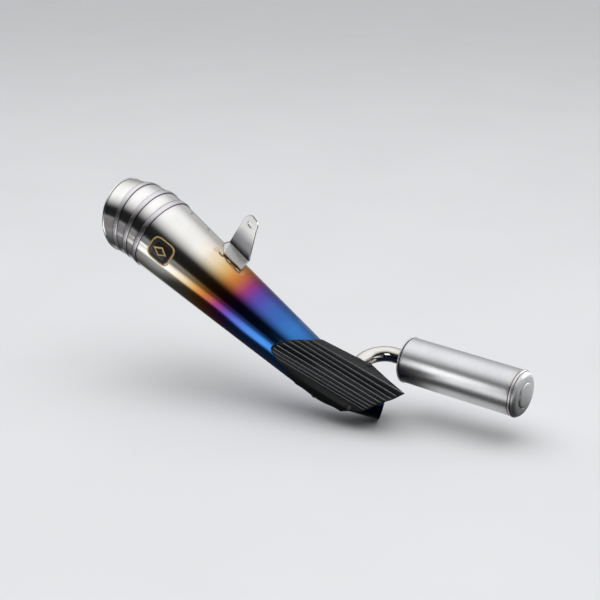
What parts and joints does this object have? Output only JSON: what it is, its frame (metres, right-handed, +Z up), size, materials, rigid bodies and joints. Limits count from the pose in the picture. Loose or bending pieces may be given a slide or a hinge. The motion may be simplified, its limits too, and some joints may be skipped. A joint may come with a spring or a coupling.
{
  "type": "exhaust muffler",
  "caption": "Megaphone motorcycle silencer with a mitred tail, slotted hanger bracket, ribbed side cover and a closed side chamber on a bent link pipe.",
  "frame": {"origin": "centre of the inlet opening, where the muffler slides onto the motorcycle's mid pipe", "axes": "+X forward towards the inlet end, +Y towards the far side where the small chamber sits, +Z up; the body's exit points to -X and up"},
  "size_m": [0.5672, 0.1418, 0.2617],
  "materials": {
    "titanium": "thin brushed titanium, heat tinted from silver through straw, purple and blue towards the inlet",
    "weld": "rippled weld metal with heat lines beside it",
    "bracket_steel": "satin bent sheet",
    "inner_steel": "dull sooty steel",
    "chamber_steel": "fine brushing around the cylinder",
    "polished_pipe": "polished bent tube",
    "carbon": "clear coated carbon fibre laminate",
    "glass_wool": "matted glass wool",
    "badge_black": "black enamel",
    "badge_gold": "satin gold"
  },
  "bodies": {
    "root": {"cone_shell": "titanium", "tail_inner_segment": "titanium", "tail_middle_segment": "titanium", "tail_exit_segment": "titanium", "cone_joint_weld": "weld", "middle_joint_weld": "weld", "exit_joint_weld": "weld", "exit_lip": "titanium", "perforated_core": "inner_steel", "rear_baffle": "inner_steel", "front_baffle": "inner_steel", "sound_packing": "glass_wool", "outlet_tube": "inner_steel", "exit_plate": "inner_steel", "inlet_pipe": "titanium", "link_pipe": "polished_pipe", "link_joint_collar": "weld", "inlet_joint_weld": "weld", "chamber_shell": "chamber_steel", "chamber_front_cap": "chamber_steel", "link_cap_weld": "weld", "chamber_seam_weld": "weld", "chamber_dome_cap": "chamber_steel", "dome_centre_disc": "chamber_steel", "hanger_bracket": "bracket_steel", "bracket_stitch_weld_1": "weld", "bracket_stitch_weld_2": "weld", "bracket_stitch_weld_3": "weld", "side_cover": "carbon", "upper_cover_spacer": "bracket_steel", "upper_cover_screw": "bracket_steel", "lower_cover_spacer": "bracket_steel", "lower_cover_screw": "bracket_steel", "badge_plate": "badge_black", "badge_frame": "badge_gold", "badge_lozenge": "badge_gold", "cone_seam_weld": "weld"}
  },
  "joints": []
}
